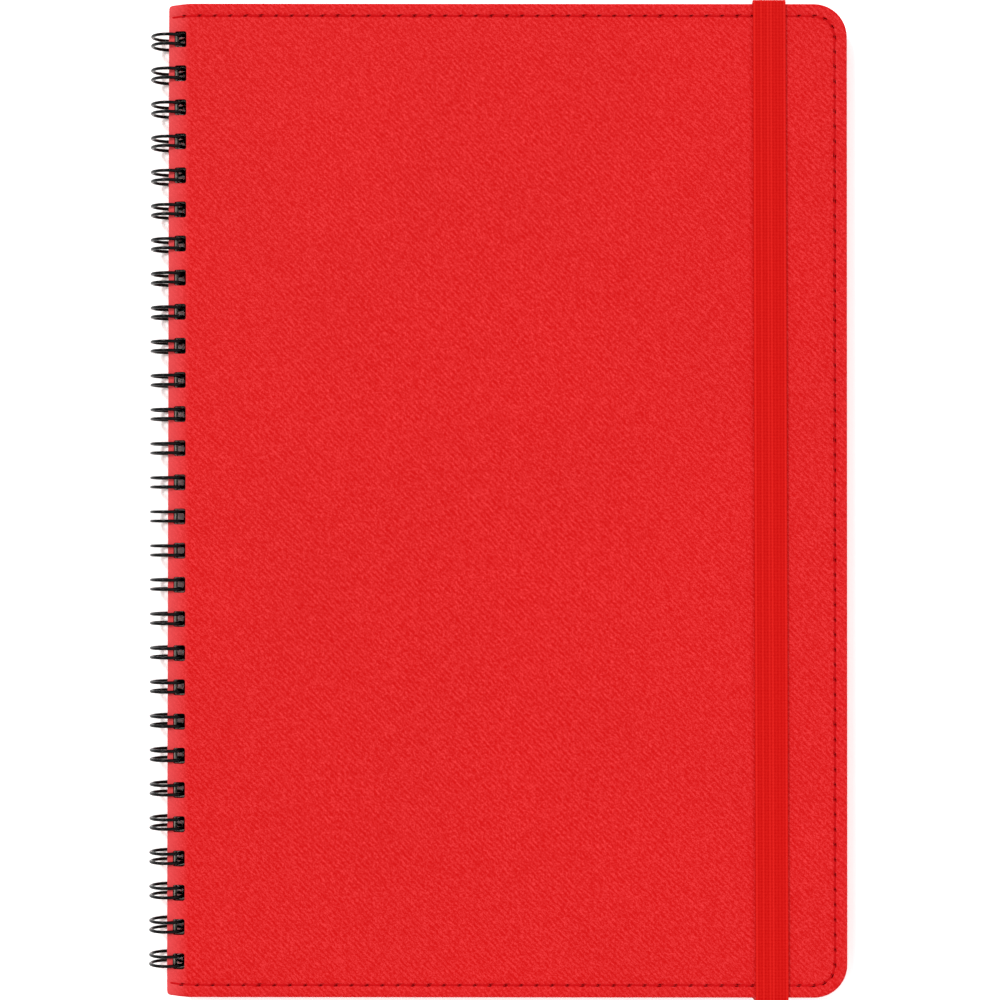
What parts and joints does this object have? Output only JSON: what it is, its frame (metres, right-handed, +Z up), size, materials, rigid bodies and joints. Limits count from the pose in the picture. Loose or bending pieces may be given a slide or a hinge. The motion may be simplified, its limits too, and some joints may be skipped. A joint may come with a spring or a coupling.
{
  "type": "spiral notebook",
  "caption": "Wire-bound notebook with padded, edge-stitched red covers, a black twin-loop wire spine and a flat red elastic closure band.",
  "frame": {"origin": "centre of the base: middle of the footprint, at the lowest point of the wire loops, with the closed notebook lying on its back cover", "axes": "+X from the wire spine to the fore edge, +Y along the spine from the foot to the head, +Z up out of the front cover"},
  "size_m": [0.1734, 0.2484, 0.0094],
  "materials": {
    "cover_skin": "red imitation leather with a fine slanted grain",
    "cover_board": "grey bookbinding board",
    "cover_lining": "plain cream lining paper",
    "sewing_thread": "red twisted sewing thread",
    "sheets": "uncoated writing paper",
    "binding_wire": "black nylon-coated steel wire",
    "elastic": "red ribbed elastic tape"
  },
  "bodies": {
    "back_cover": {"back_cover_skin": "cover_skin", "back_cover_board": "cover_board", "back_cover_lining": "cover_lining", "back_cover_stitching": "sewing_thread", "elastic_band": "elastic"},
    "sheets": {"page_block": "sheets", "wire_binding": "binding_wire"},
    "front_cover": {"front_cover_skin": "cover_skin", "front_cover_board": "cover_board", "front_cover_lining": "cover_lining", "front_cover_stitching": "sewing_thread"}
  },
  "joints": [
    {"name": "page_block_hinge", "type": "hinge", "parent": "back_cover", "child": "sheets", "pos_m": [-0.082, 0, 0.0047], "axis": [0, -1, 0], "range_deg": [0, 180], "deforming": ["elastic_band"]},
    {"name": "front_cover_hinge", "type": "hinge", "parent": "sheets", "child": "front_cover", "pos_m": [-0.082, 0, 0.0047], "axis": [0, -1, 0], "range_deg": [0, 180]}
  ]
}
